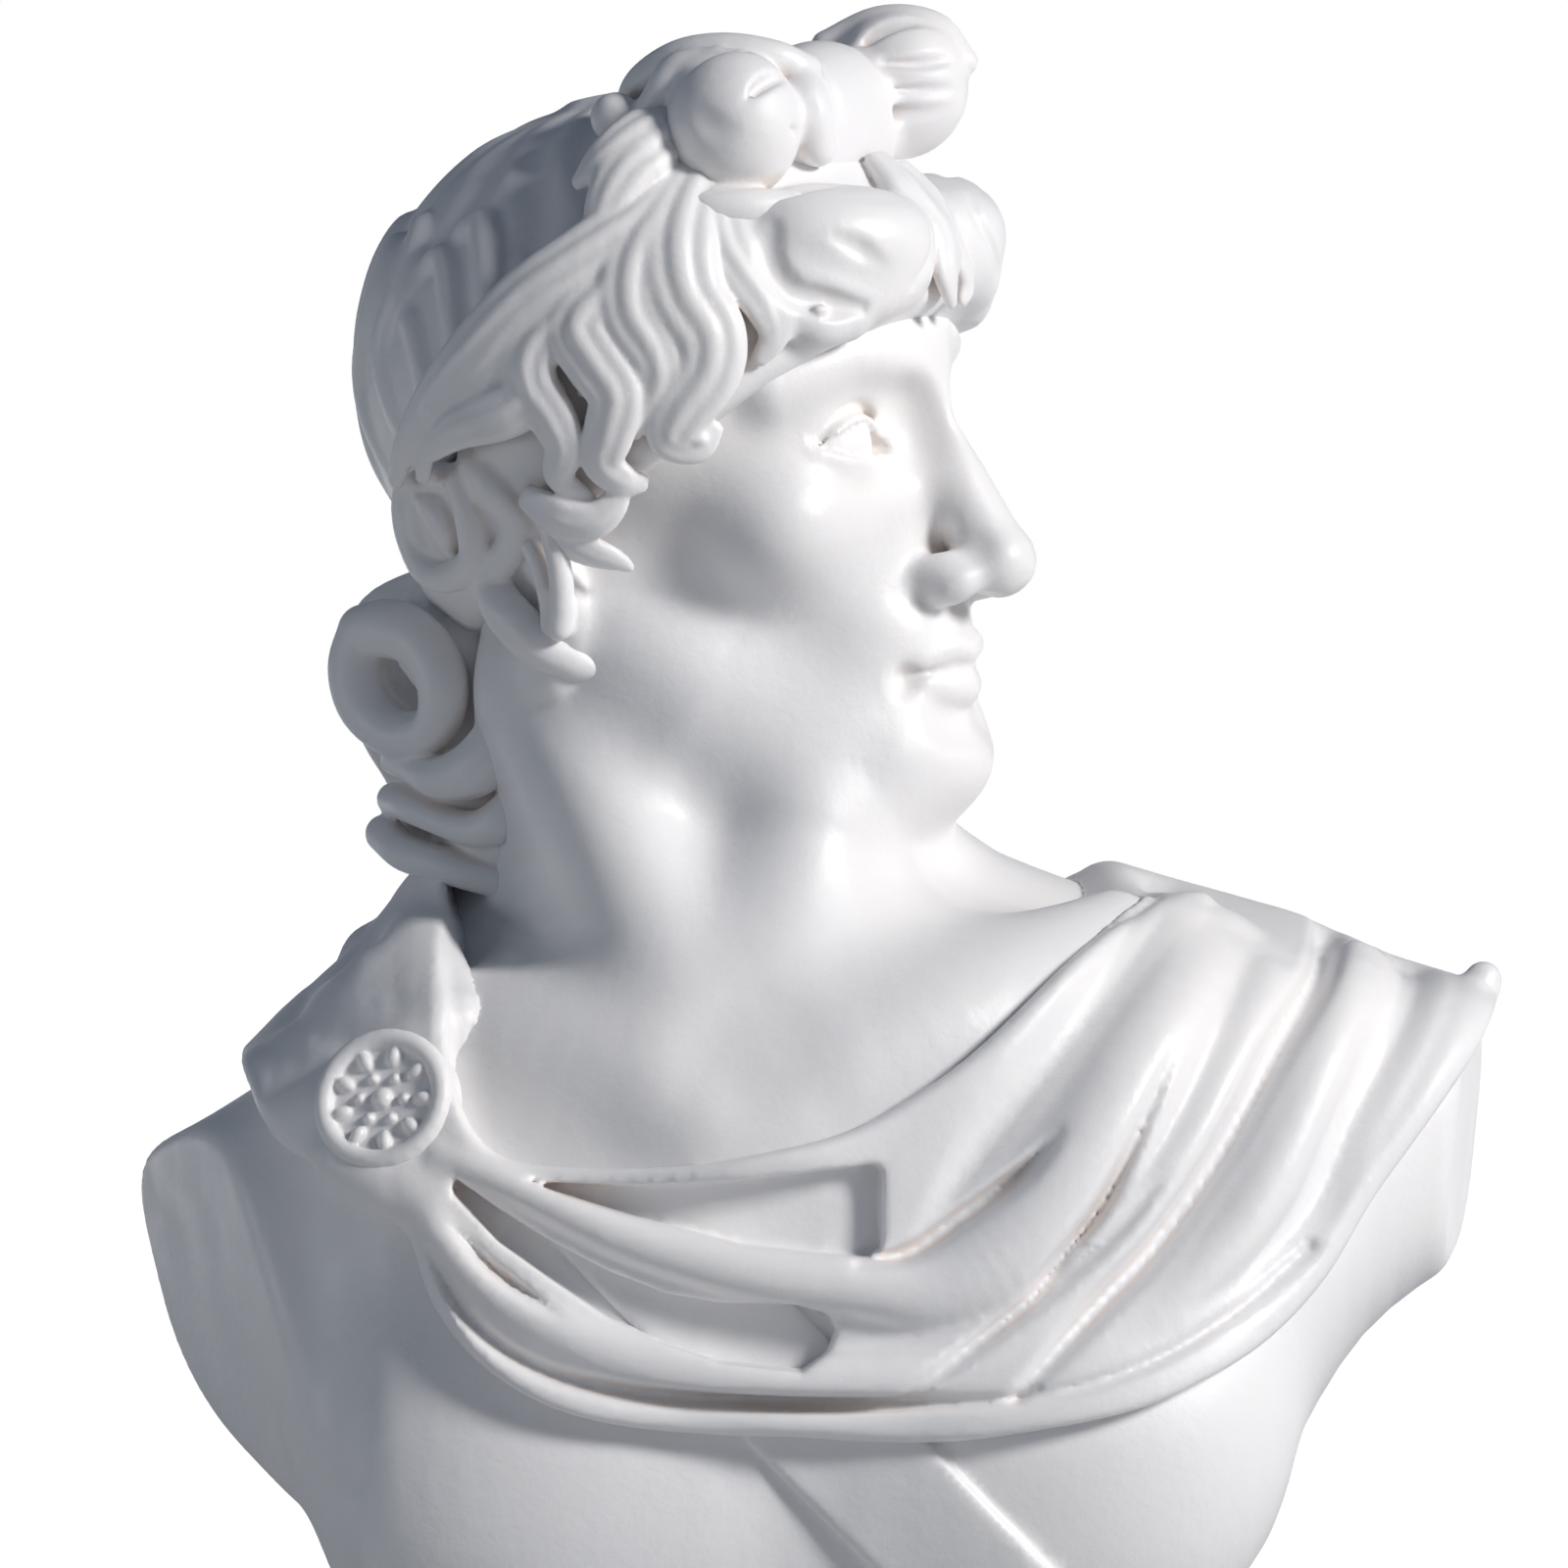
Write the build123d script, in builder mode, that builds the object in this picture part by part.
"""A marble bust on a turned socle: a head let into a draped chest, held to its foot by a threaded rod.

Millimetres. +Z is up, the chest faces -Y, and the origin is the middle of the foot's underside.
The figure is a quarter of life size. Its head turns to its own left, which is +X.
"""

import os
from math import cos, radians, sin

from build123d import *

os.makedirs("parts", exist_ok=True)

# --- driving dimensions --------------------------------------------------------------------------

HEAD_CENTRE = (-9.0, -1.0, 121.0)   # halfway from chin to crown
HEAD_TURN = radians(65)
HEAD_LIFT = radians(4)              # chin raised
HEAD_LEAN = radians(6)              # crown towards its right shoulder

FELT = 1.2
PLINTH_SIDE = 44.0
PLINTH_TOP = 10.2
SEAT = 22.0                         # the joint between socle and chest
SEAT_RADIUS = 12.0
CLOAK = 3.2                         # thickness of the cloak over the chest
STRAP = 0.9                         # how far the strap stands out of the chest

ROD_RADIUS = 2.5                    # M5
NECK_PIN_RADIUS = 2.0
HAIR_PIN_RADIUS = 1.0
BED = 0.1                           # bedding gap round a pin, a peg or an insert

# The chest, station by station from its right arm to its left: x, front, back, bottom, top
CHEST = (
    (-56, -8, 15, 54, 65),
    (-46, -14, 18, 47, 70),
    (-36, -20, 20.5, 40, 76),
    (-24, -25, 22, 29, 81),
    (-9, -26.5, 22.5, 21, 85),
    (7, -26.5, 22.5, 21, 88.5),
    (22, -25, 22, 28, 86.5),
    (33, -21.5, 21, 38, 84.5),
    (43, -16, 18, 54, 81.5),
    (56, -10, 14, 63, 77),
)

# The neck, from inside the chest to inside the skull: height, centre, radii across and from front to back
NECK = (
    (70, (-5.5, -1), (20, 18)),
    (79, (-6.5, 0), (16.5, 16)),
    (92, (-8, 1), (14.8, 15)),
    (108, (-10.5, 2), (13, 14)),
)

# The skull and face in the head's own frame, from the chin up: height, half width, front, back
SKULL = (
    (-28.3, 3.5, -20.5, -12),
    (-26.5, 7.5, -22.3, -6),
    (-21, 11.5, -22.2, 8),
    (-13, 14.8, -21.6, 15.5),
    (-4, 17.2, -21, 19.5),
    (5, 18.4, -21.8, 21.8),
    (13, 18.4, -20.6, 22),
    (19.5, 15.8, -16.5, 19),
    (24.2, 10, -9, 13),
    (26.3, 4, -2, 7),
)

# The tenon under the head's collar is rounded like a bowl, and sits in a socket in the chest.
TENON_CENTRE = (-3.5, -4.0)
TENON_RADII = (34, 30, 16)
TENON_RIM = 72.0
TENON_ZONE_HEIGHT = 40.0            # reaches above the shoulders

# The cloak's edges, as (x, z): its neckline and its hem seen from the front, both from the brooch to
# the left shoulder, its hem seen from behind, and the height that lies clear above it
CLOAK_NECKLINE = (
    (-33, 88), (-27, 74), (-22, 68.5), (-14, 66.2), (-5, 65.8), (5, 67.6), (13, 74.5), (20, 83), (24, 92),
)
CLOAK_HEM = (
    (-39, 72), (-34, 67), (-28, 63), (-24, 55), (-16, 49.5), (-6, 47), (7, 47), (21.5, 49),
    (32, 54.5), (39, 61), (44.5, 68.5), (50, 75), (53.8, 81),
)
CLOAK_BACK_HEM = ((-39, 70), (-28, 60), (-14, 50), (4, 46), (24, 49), (40, 58), (49, 70), (53.8, 81))
CLOAK_ABOVE = 98.0
OUTLINE_REACH = 40.0                # how far an outline seen from the front is carried, past the body

# Where the cloak's rolled folds run, from the brooch to the left shoulder: radius, then points
FOLDS = (
    (2.3, ((-26, -22, 69), (-15, -28, 63.5), (-4, -29.4, 61.5), (7, -29.4, 60.5), (15, -27.6, 64.5),
           (20, -24, 71), (25, -17.5, 80), (31, -6, 85.2))),
    (2.2, ((-26, -23, 64), (-22, -26.5, 58.5), (-14, -28.9, 54.5), (-4, -29.9, 52), (8, -29.6, 52.5),
           (19, -28, 59.5), (28, -24, 69), (34.5, -17, 77.5), (39, -7, 82.6))),
    (1.8, ((-27.5, -21.5, 61), (-23, -26, 54.5), (-15, -28, 50), (-4, -29, 48.5), (8, -29, 48.5),
           (21, -27.5, 50.5), (32, -23, 56.5), (40, -18.5, 63.5), (46, -14.5, 71))),
)

# Arm cuts: a point on the flat face where an arm ends, and that face's outward normal
ARM_CUTS = (
    Plane(origin=(-51.4, 14, 65), z_dir=(-0.92, -0.31, -0.23)),
    Plane(origin=(50.5, -4, 68), z_dir=(1, -0.15, -0.1)),
)

BROOCH_RADIUS = 5.4
BROOCH = Plane(origin=(-30.0, -22.0, 72.4), x_dir=(0.93, -0.35, 0.03), z_dir=(-0.32, -0.89, 0.32))


def head_plane():
    """The head's own frame: x to its left, y to its back, z to its crown."""
    left = Vector(cos(HEAD_TURN), sin(HEAD_TURN), 0)
    back = Vector(-sin(HEAD_TURN), cos(HEAD_TURN), 0)
    up = Vector(0, 0, 1) + back * sin(HEAD_LIFT) - left * sin(HEAD_LEAN)
    across = left + Vector(0, 0, 1) * sin(HEAD_LEAN)
    return Plane(origin=HEAD_CENTRE, x_dir=across, z_dir=up)


head_frame = head_plane()


# --- helpers -------------------------------------------------------------------------------------


def finish(part, name):
    """Labels a piece and writes it as STEP."""
    part.label = name
    export_step(part, f"parts/{name}.step")


def ellipsoid(centre, radii, frame=Plane.XY):
    """A closed ellipsoid whose axes lie along the frame's, with its centre given in the frame."""
    ball = scale(Sphere(1, mode=Mode.PRIVATE), by=radii, mode=Mode.PRIVATE)
    return ball.moved(Location(centre)).moved(frame.location)


def oval(middle, half_width, half_height, fullness=0.80):
    """Eight points of a squarish oval. fullness 0.707 is an ellipse, and 1 a rectangle."""
    corner = ((1, 0), (fullness, fullness), (0, 1), (-fullness, fullness))
    half = [(middle[0] + u * half_width, middle[1] + v * half_height) for u, v in corner]
    return half + [(2 * middle[0] - u, 2 * middle[1] - v) for u, v in half]


def closed_spline(points, plane):
    """A sketch bounded by one smooth closed curve."""
    with BuildSketch(plane) as sketch:
        with BuildLine():
            Spline(*points, periodic=True)
        make_face()
    return sketch.sketch


def chest_loft(margin):
    """The chest and shoulders, grown by a margin, lofted from arm to arm."""
    with BuildPart() as block:
        for x, front, back, bottom, top in CHEST:
            middle = ((front + back) / 2, (top + bottom) / 2)
            points = oval(middle, (back - front) / 2 + margin, (top - bottom) / 2 + margin)
            add(closed_spline(points, Plane.YZ.offset(x)))
        loft()
    return block.part


def trimmed(part):
    """The part without what lies past the arm cuts and below the seat."""
    with BuildPart() as cut:
        add(part)
        for plane in ARM_CUTS:
            split(bisect_by=plane, keep=Keep.BOTTOM)
        split(bisect_by=Plane.XY.offset(SEAT), keep=Keep.TOP)
    return cut.part


def pin(radius, start, length, direction=(0, 0, 1), frame=Plane.XY, gap=0.0):
    """A round pin from start along direction, both in the frame, grown by a gap."""
    axis = Plane(origin=start, z_dir=direction)
    with BuildPart() as rod:
        with BuildSketch(axis.offset(-gap)):
            Circle(radius + gap)
        extrude(amount=length + 2 * gap)
    return rod.part.moved(frame.location)


# --- where the figure divides --------------------------------------------------------------------

with BuildPart() as tenon_zone:
    with BuildSketch(Plane.XY.offset(TENON_RIM)):
        with Locations(TENON_CENTRE):
            Ellipse(TENON_RADII[0], TENON_RADII[1])
    extrude(amount=TENON_ZONE_HEIGHT)
    add(ellipsoid((*TENON_CENTRE, TENON_RIM), TENON_RADII))

body_block = trimmed(chest_loft(0))

NECK_PIN = {"radius": NECK_PIN_RADIUS, "start": (HEAD_CENTRE[0], HEAD_CENTRE[1], 48.0)}
NECK_PIN["length"] = HEAD_CENTRE[2] - NECK_PIN["start"][2]
KNOT_PIN = {"radius": HAIR_PIN_RADIUS, "start": (0, -12, 16), "length": 12, "frame": head_frame}
NAPE_PIN = {
    "radius": HAIR_PIN_RADIUS, "start": (0, 6, -20), "length": 15,
    "direction": (0, 1, 0), "frame": head_frame,
}

PEG_RADIUS, PEG_LENGTH = 1.5, 3.5
PEG = {"radius": PEG_RADIUS, "start": (0, 0, -PEG_LENGTH), "length": PEG_LENGTH, "frame": BROOCH}


# --- the head ------------------------------------------------------------------------------------


def skull():
    """Skull and jaw, lofted from egg-shaped sections that are fuller behind than in front."""
    with BuildPart() as block:
        for height, half_width, front, back in SKULL:
            middle = front + 0.55 * (back - front)
            shoulder = 0.74 * half_width
            rim = [
                (half_width, middle),
                (shoulder, back - 0.12 * (back - front)),
                (0, back),
                (-shoulder, back - 0.12 * (back - front)),
                (-half_width, middle),
                (-shoulder, front + 0.13 * (back - front)),
                (0, front),
                (shoulder, front + 0.13 * (back - front)),
            ]
            add(closed_spline(rim, head_frame.offset(height)))
        loft()
    return block.part


def neck():
    """The neck, which leans back from the collar to the skull."""
    with BuildPart() as block:
        for height, centre, radii in NECK:
            with BuildSketch(Plane.XY.offset(height)):
                with Locations(centre):
                    Ellipse(*radii)
        loft()
    return block.part


def nose():
    """A straight nose: half width and front at four heights, with its back inside the face."""
    sections = ((4, 2.0, -22.6), (-3, 2.5, -25), (-9.5, 4.2, -27.8), (-12.8, 4.0, -25))
    with BuildPart() as block:
        for height, half_width, front in sections:
            middle = (0, (front - 17) / 2)
            points = oval(middle, half_width, (-17 - front) / 2, 0.68)
            add(closed_spline(points, head_frame.offset(height)))
        loft()
    return block.part


with BuildPart() as head:
    add(body_block)
    add(tenon_zone.part, mode=Mode.INTERSECT)
    add(neck())
    add(skull())
    for side in (-1, 1):
        add(ellipsoid((side * 6.8, -18.6, 4.2), (5.6, 3.3, 2.0), head_frame))        # brow
        add(ellipsoid((side * 16.4, 4, -8.5), (2.6, 4.4, 7.6), head_frame))          # ear
        add(ellipsoid((side * 7.6, -22.8, 0), (4.6, 3.0, 2.7), head_frame), mode=Mode.SUBTRACT)
        add(ellipsoid((side * 7.5, -17.4, 0), (3.6, 3.6, 3.2), head_frame))          # eye
        add(ellipsoid((side * 10.3, -14.6, -6.0), (4.4, 4.6, 4.0), head_frame))      # cheekbone
    add(nose())
    add(ellipsoid((0, -19.8, -24.6), (4.6, 3.6, 3.4), head_frame))                   # chin
    add(ellipsoid((0, -21.4, -17.3), (4.8, 2.1, 1.1), head_frame))                   # lips
    add(ellipsoid((0, -21.2, -19.4), (4.0, 2.1, 1.3), head_frame))
    add(pin(**NECK_PIN, gap=BED), mode=Mode.SUBTRACT)
    add(pin(**KNOT_PIN, gap=BED), mode=Mode.SUBTRACT)
    add(pin(**NAPE_PIN, gap=BED), mode=Mode.SUBTRACT)
    add(pin(**PEG, gap=BED), mode=Mode.SUBTRACT)
finish(head.part, "head")


# --- the hair ------------------------------------------------------------------------------------
# Two slanting planes, both seen from the side as lines from the brow down to the nape, divide it:
# the front locks lie between them, and the crown lies behind the upper one.

HAIRLINE = Plane(origin=(0, -20.0, 13.0), z_dir=(0, 0.67, 0.745))
CROWN_EDGE = Plane(origin=(0, -4.5, 15.5), z_dir=(0, 0.684, 0.73))
HAIR_FLOOR = -16.0                  # the front locks end here, below the ear
CROWN_SHAPE = ((0, 1.5, 6.5), (21.5, 24.4, 23))
FRONT_SHAPE = ((0, 1.0, 6.0), (24, 27.5, 26.5))


def in_head(plane):
    """A plane given in the head's frame, as a plane in the part's frame."""
    return Plane(head_frame.location * plane.location)


with BuildPart() as crown_hair:
    add(ellipsoid(*CROWN_SHAPE, head_frame))
    split(bisect_by=in_head(CROWN_EDGE), keep=Keep.TOP)
    add(head.part, mode=Mode.SUBTRACT)
    add(pin(**KNOT_PIN, gap=BED), mode=Mode.SUBTRACT)
    add(pin(**NAPE_PIN, gap=BED), mode=Mode.SUBTRACT)
finish(crown_hair.part, "crown_hair")

with BuildPart() as front_hair:
    add(ellipsoid(*FRONT_SHAPE, head_frame))
    for side in (-1, 1):            # curls along the temples, ending over the ears
        for x, y, z, size in ((9, -19, 11.5, 4.5), (15.5, -13, 5.5, 4.5), (19, -5, -2, 4.5), (19, 9, -7, 5)):
            add(ellipsoid((side * x, y, z), (size, size, size), head_frame))
    add(ellipsoid((-2, -21.5, 15.5), (5.5, 4, 4.5), head_frame))
    split(bisect_by=in_head(HAIRLINE), keep=Keep.TOP)
    split(bisect_by=in_head(CROWN_EDGE), keep=Keep.BOTTOM)
    split(bisect_by=in_head(Plane.XY.offset(HAIR_FLOOR)), keep=Keep.TOP)
    add(head.part, mode=Mode.SUBTRACT)
    add(pin(**NECK_PIN, gap=BED), mode=Mode.SUBTRACT)
    add(pin(**KNOT_PIN, gap=BED), mode=Mode.SUBTRACT)
finish(front_hair.part, "front_hair")

with BuildPart() as top_knot:
    for side, rise in ((-1, 0.0), (1, 1.0)):
        add(ellipsoid((side * 10.5, -12, 26.2 + rise), (7.5, 6.0, 6.6), head_frame))
    add(ellipsoid((0, -13.5, 25), (6, 5, 5), head_frame))
    add(head.part, mode=Mode.SUBTRACT)
    add(crown_hair.part, mode=Mode.SUBTRACT)
    add(front_hair.part, mode=Mode.SUBTRACT)
    add(pin(**KNOT_PIN, gap=BED), mode=Mode.SUBTRACT)
finish(top_knot.part, "top_knot")

with BuildPart() as nape_curls:
    add(ellipsoid((-1, 22, -15), (12, 8.5, 8), head_frame))
    add(ellipsoid((-1, 18, -23), (12, 9, 7.5), head_frame))
    add(ellipsoid((-1, 13.5, -29.5), (11, 8.5, 5), head_frame))
    add(head.part, mode=Mode.SUBTRACT)
    add(crown_hair.part, mode=Mode.SUBTRACT)
    add(front_hair.part, mode=Mode.SUBTRACT)
    add(pin(**NAPE_PIN, gap=BED), mode=Mode.SUBTRACT)
finish(nape_curls.part, "nape_curls")


# --- the chest, the cloak and the brooch ---------------------------------------------------------

ROD_BOTTOM, ROD_TOP = 1.6, 36.0
INSERT_BOTTOM, INSERT_RADIUS, INSERT_LENGTH = 25.0, 3.5, 12.0
INSERT = {"radius": INSERT_RADIUS, "start": (0, 0, INSERT_BOTTOM), "length": INSERT_LENGTH}
ROD = {"radius": ROD_RADIUS, "start": (0, 0, ROD_BOTTOM), "length": ROD_TOP - ROD_BOTTOM}


STRAP_BAND = ((-3, 46), (10, 46), (30, 25), (13, 25))       # its corners, as (x, z)
SEAT_BOSS = 6.0                     # height of the round boss the chest stands on


def strap_zone():
    """The strap's band across the chest, seen from the front: it runs down to its left side."""
    with BuildPart() as band:
        with BuildSketch(Plane.XZ):
            Polygon(*STRAP_BAND, align=None)
        extrude(amount=OUTLINE_REACH)
    return band.part


with BuildPart() as chest:
    add(trimmed(chest_loft(STRAP)))
    add(strap_zone(), mode=Mode.INTERSECT)
    add(body_block)
    with BuildSketch(Plane.XY.offset(SEAT)):
        Circle(SEAT_RADIUS)
    extrude(amount=SEAT_BOSS)
    add(tenon_zone.part, mode=Mode.SUBTRACT)
    add(head.part, mode=Mode.SUBTRACT)
    add(pin(**NECK_PIN, gap=BED), mode=Mode.SUBTRACT)
    add(pin(**INSERT, gap=BED), mode=Mode.SUBTRACT)
    add(pin(**ROD, gap=BED), mode=Mode.SUBTRACT)
    add(pin(**PEG, gap=BED), mode=Mode.SUBTRACT)
finish(chest.part, "chest")


def cloak_zone():
    """What the cloak covers: its front and back outlines, carried through the chest."""
    right, left = CLOAK_HEM[0], CLOAK_HEM[-1]
    with BuildPart() as zone:
        with BuildSketch(Plane.XZ):
            with BuildLine():
                Spline(*CLOAK_NECKLINE)
                Polyline(
                    CLOAK_NECKLINE[-1], (CLOAK_NECKLINE[-1][0], CLOAK_ABOVE), (left[0], CLOAK_ABOVE), left,
                )
                Spline(*CLOAK_HEM)
                Polyline(right, (right[0], CLOAK_NECKLINE[0][1]), CLOAK_NECKLINE[0])
            make_face()
        extrude(amount=OUTLINE_REACH)
        with BuildSketch(Plane.XZ):
            with BuildLine():
                Spline(*CLOAK_BACK_HEM)
                Polyline(
                    CLOAK_BACK_HEM[-1], (CLOAK_BACK_HEM[-1][0], CLOAK_ABOVE),
                    (CLOAK_BACK_HEM[0][0], CLOAK_ABOVE), CLOAK_BACK_HEM[0],
                )
            make_face()
        extrude(amount=-OUTLINE_REACH)
    return zone.part


def fold(radius, points):
    """One rolled fold of the cloak."""
    with BuildPart() as roll:
        with BuildLine() as route:
            Spline(*points)
        with BuildSketch(Plane(origin=route.line @ 0, z_dir=route.line % 0)):
            Circle(radius)
        sweep()
    return roll.part


with BuildPart() as cloak:
    add(chest_loft(CLOAK))
    add(cloak_zone(), mode=Mode.INTERSECT)
    for radius, points in FOLDS:
        add(fold(radius, points))
    add(ellipsoid((-30, -15.5, 72), (8, 6.5, 6.5)))      # cloth gathered under the brooch
    add(ellipsoid((-36, -8, 73.5), (5, 8, 4.5)))
    add(chest_loft(0), mode=Mode.SUBTRACT)
    add(neck(), mode=Mode.SUBTRACT)
    split(bisect_by=BROOCH, keep=Keep.BOTTOM)
    add(pin(**PEG, gap=BED), mode=Mode.SUBTRACT)
finish(cloak.part, "cloak")

BROOCH_HEIGHT, RIM_WIDTH, RIM_HEIGHT = 2.2, 0.8, 0.7
BEADS, BEAD_RADIUS, BEAD_RING, BOSS_RADIUS = 9, 0.75, 2.9, 1.2

with BuildPart() as brooch:
    with BuildSketch(BROOCH):
        Circle(BROOCH_RADIUS)
    extrude(amount=BROOCH_HEIGHT)
    with BuildSketch(BROOCH.offset(BROOCH_HEIGHT)):
        Circle(BROOCH_RADIUS - RIM_WIDTH)
    extrude(amount=-RIM_HEIGHT, mode=Mode.SUBTRACT)
    with Locations(BROOCH.offset(BROOCH_HEIGHT - RIM_HEIGHT).location):
        with PolarLocations(BEAD_RING, BEADS):
            Sphere(BEAD_RADIUS)
        Sphere(BOSS_RADIUS)
    add(pin(**PEG))
finish(brooch.part, "brooch")

# --- the foot and its fixings --------------------------------------------------------------------

FELT_MARGIN, FELT_CORNER = 1.0, 1.5
PLINTH_ARRIS, PLINTH_CHAMFER = 1.2, 0.8
NUT_FLATS, NUT_HEIGHT, NUT_BEVEL = 8.0, 4.0, 0.25
WASHER_RADIUS, WASHER_THICKNESS, WASHER_GAP = 5.0, 1.0, 0.15
THREAD_GAP = 0.02                   # between the rod and what is screwed on it
RECESS_RADIUS = 7.0
RECESS_ROOF = FELT + 6.0            # the washer bears on this face of the plinth

with BuildPart() as felt_pad:
    with BuildSketch():
        RectangleRounded(PLINTH_SIDE - 2 * FELT_MARGIN, PLINTH_SIDE - 2 * FELT_MARGIN, FELT_CORNER)
    extrude(amount=FELT)
finish(felt_pad.part, "felt_pad")

with BuildPart() as plinth:
    with BuildSketch(Plane.XY.offset(FELT)):
        Rectangle(PLINTH_SIDE, PLINTH_SIDE)
    extrude(amount=PLINTH_TOP - FELT)
    fillet(plinth.edges().filter_by(Axis.Z), PLINTH_ARRIS)
    chamfer(plinth.faces().sort_by(Axis.Z)[-1].edges(), PLINTH_CHAMFER)
    with BuildSketch(Plane.XY.offset(FELT)):
        Circle(RECESS_RADIUS)
    extrude(amount=RECESS_ROOF - FELT, mode=Mode.SUBTRACT)
    add(pin(**ROD, gap=BED), mode=Mode.SUBTRACT)
finish(plinth.part, "plinth")

# The socle's turned profile, from the plinth up: torus, fillet, scotia, fillet, torus
LOWER_TORUS, UPPER_TORUS, SOCLE_FILLET = 2.4, 1.5, 1.0
SOCLE_FOOT, SOCLE_NECK = 19.5, 11.0
SCOTIA_OUT, SCOTIA_DOWN = 0.9, 0.2  # where the scotia is deepest, from the neck and from its own middle
with BuildPart() as socle:
    with BuildSketch(Plane.XZ) as profile:
        with BuildLine():
            z1 = PLINTH_TOP + 2 * LOWER_TORUS
            z2 = SEAT - 2 * UPPER_TORUS
            foot = SOCLE_FOOT - LOWER_TORUS
            Line((0, PLINTH_TOP), (foot, PLINTH_TOP))
            ThreePointArc((foot, PLINTH_TOP), (SOCLE_FOOT, PLINTH_TOP + LOWER_TORUS), (foot, z1))
            Line((foot, z1), (foot - SOCLE_FILLET, z1))
            ThreePointArc(
                (foot - SOCLE_FILLET, z1),
                (SOCLE_NECK + SCOTIA_OUT, (z1 + z2) / 2 - SCOTIA_DOWN),
                (SOCLE_NECK, z2),
            )
            ThreePointArc((SOCLE_NECK, z2), (SOCLE_NECK + UPPER_TORUS, z2 + UPPER_TORUS), (SOCLE_NECK, SEAT))
            Line((SOCLE_NECK, SEAT), (0, SEAT))
            Line((0, SEAT), (0, PLINTH_TOP))
        make_face()
    revolve(axis=Axis.Z)
    add(pin(**ROD, gap=BED), mode=Mode.SUBTRACT)
finish(socle.part, "socle")

finish(pin(**ROD), "threaded_rod")

with BuildPart() as rod_insert:
    add(pin(**INSERT))
    add(pin(**ROD, gap=THREAD_GAP), mode=Mode.SUBTRACT)
finish(rod_insert.part, "rod_insert")

with BuildPart() as washer:
    with BuildSketch(Plane.XY.offset(RECESS_ROOF - WASHER_THICKNESS)):
        Circle(WASHER_RADIUS)
        Circle(ROD_RADIUS + WASHER_GAP, mode=Mode.SUBTRACT)
    extrude(amount=WASHER_THICKNESS)
finish(washer.part, "washer")

NUT_BOTTOM = RECESS_ROOF - WASHER_THICKNESS - NUT_HEIGHT
with BuildPart() as nut:
    with BuildSketch(Plane.XY.offset(NUT_BOTTOM)):
        RegularPolygon(NUT_FLATS / 2, 6, major_radius=False)
        Circle(ROD_RADIUS + THREAD_GAP, mode=Mode.SUBTRACT)
    extrude(amount=NUT_HEIGHT)
    with BuildSketch(Plane.XY.offset(NUT_BOTTOM)) as bevel:
        Circle(NUT_FLATS / 2 + NUT_BEVEL)
    extrude(amount=NUT_HEIGHT, mode=Mode.INTERSECT)
finish(nut.part, "nut")

finish(pin(**NECK_PIN), "neck_pin")

with BuildPart() as hair_pins:
    add(pin(**KNOT_PIN))
    add(pin(**NAPE_PIN))
finish(hair_pins.part, "hair_pins")
